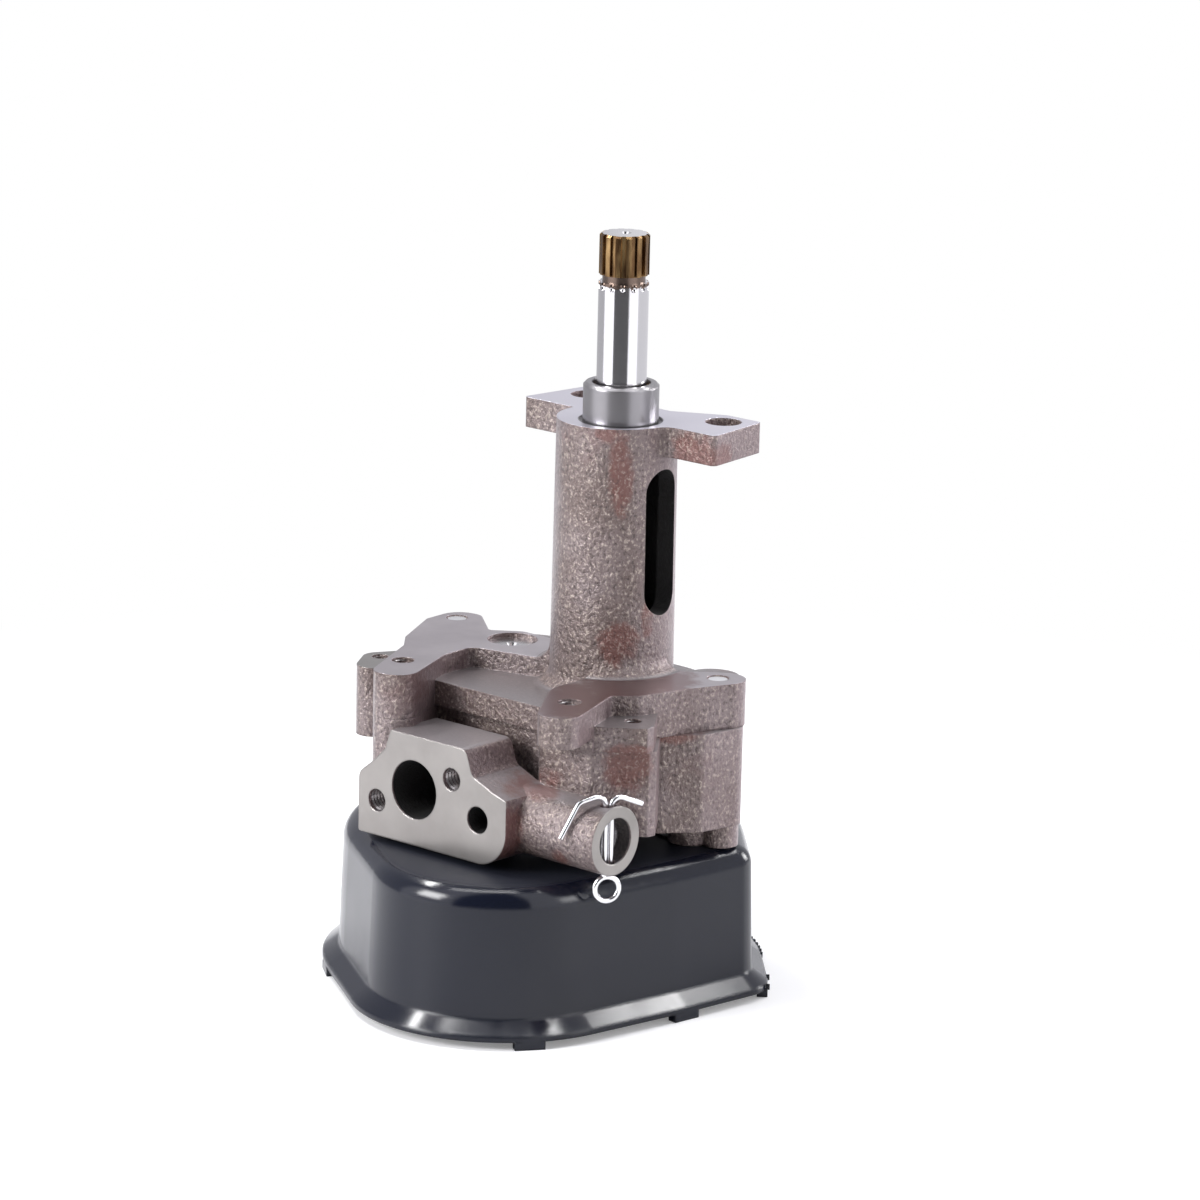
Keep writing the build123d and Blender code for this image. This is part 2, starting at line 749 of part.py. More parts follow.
def rim_point(angle, growth):
    """Point where the flange outline, grown by this much, faces one direction."""
    ahead, aside = polar(1.0, radians(angle))
    x, y, radius = max(pan_rounds, key=lambda c: c[0] * ahead + c[1] * aside + c[2])
    return (x + (radius + growth) * ahead, y + (radius + growth) * aside)


def pan_tabs():
    """Tabs bent in under the screen, hanging from the lip."""
    tabs = []
    edge = pan_draft + flange_flare
    for angle in tab_angles:
        x, y = rim_point(angle, edge - tab_reach / 2)
        block = Box(tab_reach, tab_width, tab_depth)
        tabs.append(Pos(x, y, lip_level - tab_depth / 2) * Rot(0, 0, angle) * block)
    return tabs


def strainer_pan():
    pan = pan_shell(0.0) - pan_shell(pan_sheet)
    pan += pan_flange()
    for tab in pan_tabs():
        pan += tab
    pan -= cylinder_between(neck_place, suction_radius, pan_top - 3 * pan_sheet, pan_top + 1)
    for place in strainer_bolt_places:
        pan -= cylinder_between(place, m6_clearance_radius, pan_top - 3 * pan_sheet, pan_top + 1)
    return pan


def strainer_gasket():
    sheet = Pos(*neck_place) * Circle(suction_boss_radius)
    for place in strainer_bolt_places:
        sheet += hull_of(at(place, foot_radius - 0.5))
        sheet += hull_of(at(place, gasket_web / 2), at(neck_place, gasket_web / 2))
    sheet -= Pos(*neck_place) * Circle(suction_radius)
    for place in strainer_bolt_places:
        sheet -= Pos(*place) * Circle(m6_clearance_radius)
    return prism(sheet, pan_top, foot_level)


def strainer_screen():
    edge = pan_draft + flange_flare - pan_sheet - screen_margin
    return prism(egg(edge), lip_level, lip_level + screen_thickness)


def screen_frame():
    """Stiffening frame that lies on the screen: a rim and two cross bars."""
    edge = pan_draft + flange_flare - pan_sheet - screen_margin
    rim = egg(edge - 0.5) - egg(edge - 0.5 - frame_bar)
    inside = egg(edge - 1.0)
    for angle in (0, 90):
        bar = Pos(*pan_middle) * Rot(0, 0, angle + 25) * Rectangle(frame_bar_length, frame_bar)
        rim += bar & inside
    low = lip_level + screen_thickness
    return prism(rim, low, low + frame_thickness)


def idler_bush():
    top = parting_level - gear_end_clearance / 2
    return bush(idler_centre, bush_radius, shaft_radius + running_fit, top - gear_width, top)


PIECES = {
    "tower_housing": tower_housing,
    "gear_housing": gear_housing,
    "drive_shaft": drive_shaft,
    "drive_gear": drive_gear,
    "gear_key": key_block,
    "idler_shaft": idler_shaft,
    "idler_gear": idler_gear,
    "idler_bush": idler_bush,
    "upper_bush": lambda: bush((0, 0), bush_radius, shaft_radius + running_fit,
                               pilot_height - upper_bush_recess - upper_bush_length,
                               pilot_height - upper_bush_recess),
    "lower_bush": lambda: bush((0, 0), bush_radius, shaft_radius + running_fit,
                               parting_level, parting_level + lower_bush_length),
    "tail_bush": lambda: bush((0, 0), bush_radius, shaft_radius + running_fit,
                              pocket_floor - tail_bush_length, pocket_floor),
    "dowel_pins": dowel_pins,
    "housing_bolts": housing_bolts,
    "housing_washers": lambda: ring_set(housing_bolt_places, m8_tap_radius, m8_radius + washer_margin,
                                        housing_bottom - washer_thickness, housing_bottom),
    "relief_plunger": relief_plunger,
    "relief_spring": relief_spring,
    "spring_seat": spring_seat,
    "split_pin": split_pin,
    "strainer_gasket": strainer_gasket,
    "strainer_pan": strainer_pan,
    "strainer_screen": strainer_screen,
    "screen_frame": screen_frame,
    "strainer_bolts": strainer_bolts,
    "strainer_washers": lambda: ring_set(strainer_bolt_places, m6_tap_radius, m6_radius + washer_margin,
                                         pan_top - pan_sheet - washer_thickness, pan_top - pan_sheet),
}

os.makedirs("parts", exist_ok=True)
for name, make in PIECES.items():
    piece = make()
    piece.label = name
    export_step(piece, f"parts/{name}.step")
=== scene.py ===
import json
import math

import bpy
from mathutils import Matrix, Vector, geometry


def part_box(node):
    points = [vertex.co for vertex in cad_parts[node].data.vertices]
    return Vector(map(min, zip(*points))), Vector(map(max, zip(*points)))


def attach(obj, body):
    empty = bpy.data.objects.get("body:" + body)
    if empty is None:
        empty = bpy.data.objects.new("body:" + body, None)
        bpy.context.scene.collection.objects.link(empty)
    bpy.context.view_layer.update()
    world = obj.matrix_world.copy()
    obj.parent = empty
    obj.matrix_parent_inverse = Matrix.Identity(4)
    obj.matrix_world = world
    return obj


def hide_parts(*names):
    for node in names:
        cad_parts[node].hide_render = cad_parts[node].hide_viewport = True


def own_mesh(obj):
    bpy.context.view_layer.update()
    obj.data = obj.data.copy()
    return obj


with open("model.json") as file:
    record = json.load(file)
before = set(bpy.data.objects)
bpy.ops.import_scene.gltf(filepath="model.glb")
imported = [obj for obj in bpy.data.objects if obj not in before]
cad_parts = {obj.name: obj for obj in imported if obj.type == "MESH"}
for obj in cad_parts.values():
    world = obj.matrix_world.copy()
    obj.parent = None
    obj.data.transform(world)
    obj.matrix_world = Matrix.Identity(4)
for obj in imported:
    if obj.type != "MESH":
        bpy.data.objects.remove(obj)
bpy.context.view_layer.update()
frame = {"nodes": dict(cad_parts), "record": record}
nodes = frame["nodes"]
mounts = {mount["name"]: mount for mount in frame["record"]["mounts"]}
scene = bpy.context.scene
MM = 0.001

# Levels from the frame
FLANGE_LEVEL = mounts["flange_face"]["pos_m"][2]
OUTLET_FACE = mounts["outlet_face"]["pos_m"][1]
SIDE_LUG_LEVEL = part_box("gear_housing")[1][2]
SHAFT_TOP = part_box("drive_shaft")[1][2]
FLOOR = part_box("strainer_pan")[0][2]

# Machined faces of the two castings
PAD_LEVEL = -74.0 * MM
SHELF_LEVEL = -80.0 * MM
FACE_TOLERANCE = 0.12 * MM
FACE_TURN = 0.9
GROOVE_LEVEL = -1.4 * MM
GROOVE_RADIUS = 12.5 * MM
FLANGE_BAND = (-12.0 * MM, -4.0 * MM)

# Relief valve: its axis is given as (y, z), the rest along x
VALVE_AXIS = (-43.0 * MM, -111.0 * MM)
VALVE_END = 39.1 * MM
VALVE_FOOT = -10.0 * MM
VALVE_RADIUS = 10.4 * MM
VALVE_BORE = 7.0 * MM

# Cored and drilled spaces, whose walls get painted shade starting a little behind the mouth
MOUTH = 0.6 * MM
TOWER_AXIS = (-2.8 * MM, 1.8 * MM)
TOWER_CAVITY = 13.7 * MM
CAVITY_TOP = -4.0 * MM
WINDOW_MIDDLE = (2.6 * MM, -34.75 * MM)
WINDOW_HALF = (6.75 * MM, 21.8 * MM)
OUTLET_BORE = 9.0 * MM
OUTLET_END = -13.5 * MM
FEED_BORE = 4.2 * MM

# Bronze tint of the shaft's splined end
SPLINE_LENGTH = 12.2 * MM
TINT_LENGTH = 15.2 * MM
TINT_RAGGED = 3.0 * MM
TINT_TURN = 0.8
CENTRE_DRILLING = 4.0 * MM

# Camera, fitted to the photograph: 1200 x 1200 frame, turned 41 degrees round the shaft
VIEW_TURN = math.radians(41.0)
PITCH = math.radians(14.2)
ROLL = math.radians(1.35)
DISTANCE = 1617.6 * MM
AIM = Vector((-4.75, 0.0, -54.53)) * MM
LENS = 165.0
SENSOR = 36.0
CLIP = (0.05, 50.0)

# Directions in the camera's frame: right, away and up
SEEN_RIGHT = (1.0, 0.0, 0.0)
SEEN_FRONT = (0.0, -1.0, 0.0)
FACING_RIGHT = (1.0, 0.3, 0.0)
FACING_LEFT = (-1.0, 0.2, 0.0)
UPWARD = (0.0, 0.0, 1.0)

# Thread crests of the tapped holes
THREAD_STEPS = 28
THREAD_SINK = 0.1 * MM
THREAD_CREST = 0.52 * MM
THREAD_HALF = 0.46
THREAD_THINNEST = 0.02
M8_PITCH = 1.25 * MM
M6_PITCH = 1.0 * MM

# Wire screen and the crimps of the pan's rim
WIRE_PITCH = 2.6 * MM
WIRE_RADIUS = 0.22 * MM
CRIMP_SIZE = (1.1 * MM, 0.55 * MM, 1.7 * MM)
CRIMP_LEVEL = FLOOR + 3.3 * MM
CRIMP_HEADINGS = (28.0, 58.0)
CRIMP_COUNT = 22
BLOCK_CORNERS = [(a, b, c) for c in (-1, 1) for a, b in ((-1, -1), (1, -1), (1, 1), (-1, 1))]
BLOCK_FACES = ((0, 3, 2, 1), (4, 5, 6, 7), (0, 1, 5, 4), (1, 2, 6, 5), (2, 3, 7, 6), (3, 0, 4, 7))

# Floor: its shade fades to white between two distances from the shaft's axis
FLOOR_RADIUS = 0.62
FLOOR_STEPS = 96
FLOOR_SHADE = (0.17, 0.46)
FLOOR_ROUGHNESS = 0.55
FLOOR_SPECULAR = 0.15
CAMERA_WHITE = 0.22

# Studio round the pump: headings in degrees to the right of the camera, and a strength. Mirror
# reflections see it, other rays see the ambient strength and the camera sees the backdrop
STUDIO = (
    ((-94.0, -41.0), 1.7),
    ((26.0, 72.0), 1.7),
    ((-41.0, 26.0), 0.12),
    ((72.0, 180.0), 0.9),
)
STUDIO_STRENGTH = 0.62
AMBIENT_STRENGTH = 0.34
BACKDROP_STRENGTH = 1.0

# Lamps: place in the camera's frame in mm, size in metres and power in watts
LAMP_AIM = (0.0, 0.0, -60.0)
LAMPS = {
    "key": ((-1110, -520, 480), (0.5, 0.6), 17.5),
    "fill": ((1100, -550, 300), (0.4, 0.5), 3.2),
    "rim": ((1150, 550, 300), (0.4, 0.5), 8.0),
    "top": ((0, 60, 1100), (1.1, 0.07), 6.5),
    "top_left": ((-560, 380, 850), (0.5, 0.08), 5.0),
    "top_right": ((600, 450, 800), (0.4, 0.08), 2.5),
}

# Noise patterns: scale, detail, roughness and stretch
GRAIN = (1000.0, 3.0, 0.64, (1.0, 1.0, 0.8))
LUMPS = (360.0, 2.0, 0.5)
RAGGED_EDGE = (190.0, 4.0, 0.65)
RUST_CLOUDS = (27.0, 4.0, 0.6)
IRON_CLOUDS = (45.0, 3.0)
CUT_SWIRL = (40.0, 4.0, 0.6)
TINT_EDGE = (700.0, 2.0)
TINT_STREAKS = (260.0, 3.0, 0.5, (1.0, 1.0, 0.25))
PAN_WAVES = (14.0, 2.0)
PAN_SMEARS = (45.0, 4.0, 0.65)

# Bands over which a pattern or a slope of the surface fades in, from the first value to the second
CLOUD_BAND = (0.35, 0.7)
SWIRL_BAND = (0.3, 0.75)
SMEAR_BAND = (0.4, 0.75)
RUST_BAND = (0.56, 0.68)
PATCH_BAND = (1.5, 0.5)
FLECK_BAND = (0.53, 0.67)
PIT_BAND = (0.47, 0.33)
LEFT_BAND = (0.72, 0.98)
CAST_TOP_BAND = (0.8, 0.97)
PAN_TOP_BAND = (0.93, 0.995)

# Shares in which the colours of the cast skin are laid over one another
# The left share sets the painted light on left-facing faces
LEFT_PAINTED_LIGHT_SHARE = 0.7
# The fleck and pit shares set the painted glints and the painted shade of the grain
FLECK_SHARE = 0.55
PIT_SHARE = 0.75
RUST_CLOUD_SHARE = 0.4
RUST_SHARE = 0.62
STAIN_SHARE = 0.8

# Relief of the castings, and where their grain is calmer
CALM_RIGHT = 0.65
CALM_LEFT = 0.45
CALM_TOP = 0.85
CALM_RUST = 0.35
LUMP_SHARE = 0.8
GRAIN_DEPTH = 0.60 * MM
CASTING_EDGE = 0.7 * MM

# Finish of the castings: cast, machined and hollow surfaces
CAST_METALLIC = 0.45
CUT_METALLIC = 0.88
CAST_ROUGHNESS = 0.40
CUT_ROUGHNESS = 0.30
HOLLOW_ROUGHNESS = 0.8
# Share of painted shade on the walls of the valve's barrel
BARREL_SHADE_SHARE = 0.85
COAT_WEIGHT = 0.5
COAT_ROUGHNESS = 0.2

# Finish of the shaft and the pan
STEEL_ROUGHNESS = 0.13
BRONZE_ROUGHNESS = 0.30
PAN_WAVE_DEPTH = 1.2 * MM
PAN_WAVE_STRENGTH = 0.3
PAN_EDGE = 1.4 * MM
PAN_SPECULAR = 0.42
PAN_WALL_ROUGHNESS = (0.13, 0.20)
PAN_TOP_ROUGHNESS = 0.62

# Patches of rust and stain: right of, in front of and above the shaft's axis, seen from the camera,
# then width and height, all in mm
PATCH_DEPTH = 1.6
PATCH_RAGGED = 2.6
TOWER_RUST = (
    (0.5, 17.5, -13.0, 4.0, 14.0),
    (-4.0, 17.0, -1.5, 4.0, 3.0),
    (1.0, 18.0, -64.0, 6.0, 6.5),
    (10.0, 15.0, -57.0, 2.5, 8.0),
    (23.0, 12.0, -7.0, 8.5, 7.0),
    (4.0, 46.0, -87.0, 7.0, 2.5),
    (33.0, 4.0, -78.0, 4.0, 6.0),
    (26.0, 12.0, -79.0, 4.0, 3.0),
    (-56.0, 33.0, -83.0, 4.0, 6.0),
)
GEAR_RUST = (
    (4.0, 46.0, -92.0, 7.0, 7.5),
    (17.0, 19.0, -87.0, 10.0, 3.5),
    (-23.0, 45.0, -99.0, 9.0, 3.5),
    (-30.0, 46.0, -112.0, 4.5, 9.0),
    (-13.0, 52.0, -116.0, 3.5, 4.0),
    (30.0, 12.0, -94.0, 4.0, 5.0),
)
PAD_STAIN = (
    (-12.0, 43.0, -74.0, 13.0, 5.0),
    (3.0, 28.0, -74.0, 13.0, 5.0),
    (15.0, 17.0, -74.0, 9.0, 5.0),
)


def rgba(red, green, blue):
    return (red, green, blue, 1.0)


# Colours of the castings
IRON_DARK = rgba(0.140, 0.100, 0.092)
IRON_PALE = rgba(0.210, 0.165, 0.165)
# Painted pink sheen for the cast faces that look to the right
IRON_PAINTED_SHEEN_RIGHT = rgba(0.235, 0.170, 0.182)
# Painted light for the cast faces that look to the left
IRON_PAINTED_LIGHT_LEFT = rgba(0.275, 0.240, 0.252)
# Painted glints on the raised grains, then painted shade in the pits between them
FLECK_GLINT = rgba(0.54, 0.46, 0.40)
PIT_SHADE = rgba(0.045, 0.030, 0.027)
RUST = rgba(0.160, 0.046, 0.034)
STAIN = rgba(0.170, 0.090, 0.088)
# Painted shade: near black for the walls inside the cored and drilled hollows
HOLLOW_SHADE_BLACK = rgba(0.012, 0.011, 0.011)
FLANGE_FACE = rgba(0.64, 0.62, 0.69)
TURNED_PILOT = rgba(0.26, 0.252, 0.262)
# Painted shade for the tower's up-facing cast surfaces
TOWER_TOP_SHADE = rgba(0.165, 0.145, 0.150)
TOWER_CUT = (rgba(0.36, 0.325, 0.345), rgba(0.46, 0.42, 0.44))
# Painted light for the gear housing's up-facing cast surfaces
GEAR_TOP_LIGHT = rgba(0.260, 0.235, 0.245)
GEAR_CUT = (rgba(0.255, 0.240, 0.230), rgba(0.315, 0.298, 0.285))

# Colours of the shaft, the pan, the detail pieces and the studio
POLISHED = rgba(0.68, 0.67, 0.68)
BRONZE_DARK = rgba(0.10, 0.055, 0.026)
BRONZE_BRIGHT = rgba(0.50, 0.33, 0.15)
BRONZE_NECK = rgba(0.15, 0.11, 0.09)
PAN_BLACK = rgba(0.0045, 0.0062, 0.0145)
THREAD_IRON = rgba(0.36, 0.34, 0.34)
SCREEN_WIRE = rgba(0.45, 0.45, 0.46)
FLOOR_COLOUR = rgba(0.86, 0.86, 0.88)
SKY = rgba(0.95, 0.95, 1.0)
WHITE = rgba(1.0, 1.0, 1.0)

# Plain surfaces: colour, roughness, metallic share and the nodes that they cover
PLAIN = {
    "ground_steel": (
        rgba(0.62, 0.61, 0.62), 0.24, 1.0,
        ("idler_shaft", "drive_gear", "gear_key", "idler_gear", "relief_plunger", "spring_seat"),
    ),
    "dowel_steel": (rgba(0.86, 0.86, 0.87), 0.28, 1.0, ("dowel_pins",)),
    "bright_zinc": (
        rgba(0.80, 0.80, 0.82), 0.2, 1.0,
        ("split_pin", "housing_washers", "strainer_washers"),
    ),
    "bush_bronze": (
        rgba(0.52, 0.34, 0.16), 0.3, 1.0,
        ("upper_bush", "lower_bush", "tail_bush", "idler_bush"),
    ),
    "black_oxide": (
        rgba(0.055, 0.055, 0.06), 0.38, 0.9,
        ("housing_bolts", "strainer_bolts", "relief_spring"),
    ),
    "gasket": (rgba(0.02, 0.02, 0.02), 0.7, 0.0, ("strainer_gasket",)),
    "frame_steel": (rgba(0.25, 0.25, 0.26), 0.35, 1.0, ("screen_frame",)),
}


def view_to_row(point):
    """Turns a point of the camera's frame (right, away, up) into the row frame."""
    return Matrix.Rotation(VIEW_TURN, 3, "Z") @ Vector(point)


# Helpers for node trees

# Sockets of a mix node: first value, second value and result
MIX_SOCKETS = {"FLOAT": (2, 3, 0), "RGBA": (6, 7, 2)}


class Tree:
    """Small helper round one node tree."""

    def __init__(self, tree):
        self.tree = tree
        self.coordinates = self.add("ShaderNodeTexCoord")

    def add(self, kind, **values):
        node = self.tree.nodes.new(kind)
        for key, value in values.items():
            setattr(node, key, value)
        return node

    def join(self, source, target):
        self.tree.links.new(source, target)

    def feed(self, value, socket):
        if isinstance(value, bpy.types.NodeSocket):
            self.join(value, socket)
        else:
            socket.default_value = value

    def math(self, operation, first, second=0.0, third=0.0):
        node = self.add("ShaderNodeMath", operation=operation)
        self.feed(first, node.inputs[0])
        self.feed(second, node.inputs[1])
        self.feed(third, node.inputs[2])
        return node.outputs[0]

    def chain(self, operation, values):
        """Works through the values from left to right."""
        result = values[0]
        for value in values[1:]:
            result = self.math(operation, result, value)
        return result

    def times(self, *values):
        return self.chain("MULTIPLY", values)

    def plus(self, *values):
        return self.chain("ADD", values)

    def largest(self, *values):
        return self.chain("MAXIMUM", values)

    def minus(self, first, second):
        return self.math("SUBTRACT", first, second)

    def inverse(self, share):
        return self.math("SUBTRACT", 1.0, share)

    def square(self, value):
        return self.math("MULTIPLY", value, value)

    def above(self, value, limit):
        return self.math("GREATER_THAN", value, limit)

    def below(self, value, limit):
        return self.math("LESS_THAN", value, limit)

    def mix(self, amount, first, second, kind="RGBA"):
        """First value where the amount is 0, second value where it is 1."""
        node = self.add("ShaderNodeMix", data_type=kind)
        first_socket, second_socket, result = MIX_SOCKETS[kind]
        self.feed(amount, node.inputs[0])
        self.feed(first, node.inputs[first_socket])
        self.feed(second, node.inputs[second_socket])
        return node.outputs[result]

    def blend(self, amount, first, second):
        return self.mix(amount, first, second, "FLOAT")

    def along(self, output, direction):
        """Length of a place, normal or ray along a direction of the row frame."""
        node = self.add("ShaderNodeVectorMath", operation="DOT_PRODUCT")
        self.join(self.coordinates.outputs[output], node.inputs[0])
        node.inputs[1].default_value = direction
        return node.outputs["Value"]


class Shader(Tree):
    """One material with its Principled surface."""

    def __init__(self, name):
        self.material = bpy.data.materials.new(name)
        self.material.use_nodes = True
        super().__init__(self.material.node_tree)
        self.surface = self.tree.nodes["Principled BSDF"]
        self.place = []

    def noise(self, scale, detail, roughness=0.5, stretch=(1.0, 1.0, 1.0)):
        mapping = self.add("ShaderNodeMapping")
        mapping.inputs["Scale"].default_value = stretch
        self.join(self.coordinates.outputs["Object"], mapping.inputs["Vector"])
        node = self.add("ShaderNodeTexNoise")
        node.inputs["Scale"].default_value = scale
        node.inputs["Detail"].default_value = detail
        node.inputs["Roughness"].default_value = roughness
        self.join(mapping.outputs[0], node.inputs["Vector"])
        return node.outputs["Fac"]

    def ramp(self, value, low, high):
        """0 below low, 1 above high."""
        node = self.add("ShaderNodeMapRange", interpolation_type="SMOOTHSTEP")
        self.feed(value, node.inputs["Value"])
        node.inputs["From Min"].default_value = low
        node.inputs["From Max"].default_value = high
        return node.outputs["Result"]

    def axis(self, output, letter):
        split = self.add("ShaderNodeSeparateXYZ")
        self.join(self.coordinates.outputs[output], split.inputs[0])
        return split.outputs[letter]

    def reach(self, first, second, place=(0.0, 0.0)):
        """Squared distance from a line along the third axis."""
        across = self.minus(self.axis("Object", first), place[0])
        upward = self.minus(self.axis("Object", second), place[1])
        return self.plus(self.square(across), self.square(upward))

    def bore(self, first, second, place, radius):
        """1 inside a round bore along the third axis."""
        return self.below(self.reach(first, second, place), radius ** 2)

    def face(self, letter, level, sign, *limits):
        """1 on the flat face at this level that looks along the axis, inside limits on other axes."""
        at_level = self.math("COMPARE", self.axis("Object", letter), level, FACE_TOLERANCE)
        turned = self.times(self.axis("Normal", letter), sign)
        mask = self.times(at_level, self.above(turned, FACE_TURN))
        for other, middle, reach in limits:
            near = self.math("COMPARE", self.axis("Object", other), middle, reach)
            mask = self.times(mask, near)
        return mask

    def seen_place(self):
        """Place on the object as right, front and up in the photograph's view."""
        if not self.place:
            self.place = [
                self.along("Object", view_to_row(SEEN_RIGHT)),
                self.along("Object", view_to_row(SEEN_FRONT)),
                self.axis("Object", "Z"),
            ]
        return self.place

    def patch(self, place, sizes, ragged):
        """1 in the middle of a ragged patch, 0 outside it."""
        reach = ragged
        for position, middle, size in zip(self.seen_place(), place, sizes):
            offset = self.math("DIVIDE", self.minus(position, middle * MM), size * MM)
            reach = self.plus(reach, self.square(offset))
        return self.ramp(reach, *PATCH_BAND)

    def patches(self, amount, places, ragged):
        """Adds ragged patches at places seen from the camera to an amount of staining."""
        for right, front, up, width, tall in places:
            spot = self.patch((right, front, up), (width, PATCH_DEPTH * width, tall), ragged)
            amount = self.largest(amount, spot)
        return amount

    def toward(self, direction):
        """How far the surface looks along a direction of the row frame, 0 to 1."""
        return self.largest(self.along("Normal", direction), 0.0)

    def bump(self, height, distance, strength, edge_radius):
        """Relief from a height, with sharp edges rounded in the shading."""
        node = self.add("ShaderNodeBump")
        node.inputs["Distance"].default_value = distance
        node.inputs["Strength"].default_value = strength
        self.join(height, node.inputs["Height"])
        bevel = self.add("ShaderNodeBevel", samples=4)
        bevel.inputs["Radius"].default_value = edge_radius
        self.join(bevel.outputs[0], node.inputs["Normal"])
        self.join(node.outputs[0], self.surface.inputs["Normal"])
        return node.outputs[0]

    def finish(self, colour, metallic, roughness):
        self.feed(colour, self.surface.inputs["Base Color"])
        self.feed(metallic, self.surface.inputs["Metallic"])
        self.feed(roughness, self.surface.inputs["Roughness"])
        return self.material


# Cast iron

def raw_iron(s, left, top, top_light_shade):
    """Mottled as-cast skin, with painted light on left-facing faces, a painted pink sheen on
    right-facing faces and a painted top shading on level tops.
    """
    cloud = s.ramp(s.noise(*IRON_CLOUDS), *CLOUD_BAND)
    iron = s.mix(cloud, IRON_DARK, IRON_PALE)
    # Painted sheen: right-facing faces turn pinker
    iron = s.mix(s.toward(view_to_row(FACING_RIGHT)), iron, IRON_PAINTED_SHEEN_RIGHT)
    # Painted light: left-facing faces turn paler
    iron = s.mix(s.times(left, LEFT_PAINTED_LIGHT_SHARE), iron, IRON_PAINTED_LIGHT_LEFT)
    # Level tops take the caller's painted top shading: shade on the tower, light on the gear housing
    return s.mix(top, iron, top_light_shade)


def glinted_and_shaded_grain(s, iron, grain, calm):
    """Pale flecks on the raised grains, painted glints over the grain's own colour, and dark pits
    between them, painted shade in the grain's hollows.
    """
    flecks = s.times(s.ramp(grain, *FLECK_BAND), calm)
    iron = s.mix(s.times(flecks, FLECK_SHARE), iron, FLECK_GLINT)
    pits = s.times(s.ramp(grain, *PIT_BAND), calm)
    return s.mix(s.times(pits, PIT_SHARE), iron, PIT_SHADE)


def cut_iron(s, tones):
    """Machined face with a faint swirl between two tones."""
    swirl = s.ramp(s.noise(*CUT_SWIRL), *SWIRL_BAND)
    return s.mix(swirl, *tones)


def ragged_edge(s):
    """Ragged outline for patches of rust and stain."""
    return s.times(s.minus(s.noise(*RAGGED_EDGE), 0.5), PATCH_RAGGED)


def turned_pilot(s):
    """1 on the pilot and the groove at its foot."""
    above = s.above(s.axis("Object", "Z"), GROOVE_LEVEL)
    return s.times(above, s.bore("X", "Y", (0.0, 0.0), GROOVE_RADIUS))


def tower_hollow_shade(s):
    """1 on the walls of the window and of the cavity behind it, which are painted black as shade."""
    beside = s.minus(s.axis("Object", "Y"), WINDOW_MIDDLE[0])
    level = s.math("ABSOLUTE", s.minus(s.axis("Object", "Z"), WINDOW_MIDDLE[1]))
    beyond = s.largest(s.minus(level, WINDOW_HALF[1] - WINDOW_HALF[0]), 0.0)
    reach = s.plus(s.square(beside), s.square(beyond))
    window = s.below(reach, WINDOW_HALF[0] ** 2)
    window = s.times(window, s.above(s.axis("Object", "X"), 0.0))
    cavity = s.bore("X", "Y", TOWER_AXIS, TOWER_CAVITY)
    cavity = s.times(cavity, s.below(s.axis("Object", "Z"), CAVITY_TOP))
    return s.largest(window, cavity)


def gear_hollow_shade(s):
    """1 where the walls of the outlet and the feed are painted black as shade, a little less in the
    valve's barrel.
    """
    port = mounts["outlet_port"]["pos_m"]
    feed = mounts["valve_feed"]["pos_m"]
    outlet = s.bore("X", "Z", (port[0], port[2]), OUTLET_BORE)
    drilled = s.largest(outlet, s.bore("X", "Z", (feed[0], feed[2]), FEED_BORE))
    depth = s.axis("Object", "Y")
    drilled = s.times(drilled, s.above(depth, OUTLET_FACE + MOUTH), s.below(depth, OUTLET_END))
    barrel = s.times(s.bore("Y", "Z", VALVE_AXIS, VALVE_BORE), BARREL_SHADE_SHARE)
    length = s.axis("Object", "X")
    barrel = s.times(barrel, s.below(length, VALVE_END - MOUTH), s.above(length, VALVE_FOOT))
    return s.largest(drilled, barrel)


def casting(s, machined, bright, hollow_shade, rust_places, ragged, painted_top_light_shade):
    """Rough grey-brown cast iron round machined faces, with its hollows painted black as shade."""
    grain = s.noise(*GRAIN)
    left = s.ramp(s.toward(view_to_row(FACING_LEFT)), *LEFT_BAND)
    top = s.ramp(s.toward(UPWARD), *CAST_TOP_BAND)
    calm = s.inverse(s.times(s.toward(view_to_row(FACING_RIGHT)), CALM_RIGHT))
    calm = s.minus(calm, s.times(left, CALM_LEFT))
    calm = s.times(calm, s.inverse(s.times(top, CALM_TOP)))
    rough = s.inverse(machined)
    height = s.plus(grain, s.times(s.noise(*LUMPS), LUMP_SHARE))
    height = s.times(height, s.times(rough, calm))
    relief = s.bump(height, GRAIN_DEPTH, 1.0, CASTING_EDGE)
    rust = s.times(s.ramp(s.noise(*RUST_CLOUDS), *RUST_BAND), RUST_CLOUD_SHARE)
    rust = s.patches(rust, rust_places, ragged)
    iron = s.mix(s.times(rust, RUST_SHARE), raw_iron(s, left, top, painted_top_light_shade), RUST)
    iron = glinted_and_shaded_grain(s, iron, grain, s.minus(calm, s.times(rust, CALM_RUST)))
    # Painted shade: the hollows turn near black over everything else
    colour = s.mix(hollow_shade, s.mix(machined, iron, bright), HOLLOW_SHADE_BLACK)
    open_share = s.inverse(hollow_shade)
    metallic = s.times(s.blend(machined, CAST_METALLIC, CUT_METALLIC), open_share)
    roughness = s.blend(hollow_shade, s.blend(machined, CAST_ROUGHNESS, CUT_ROUGHNESS), HOLLOW_ROUGHNESS)
    s.join(s.times(rough, open_share, COAT_WEIGHT), s.surface.inputs["Coat Weight"])
    s.surface.inputs["Coat Roughness"].default_value = COAT_ROUGHNESS
    s.join(relief, s.surface.inputs["Coat Normal"])
    return s.finish(colour, metallic, roughness)


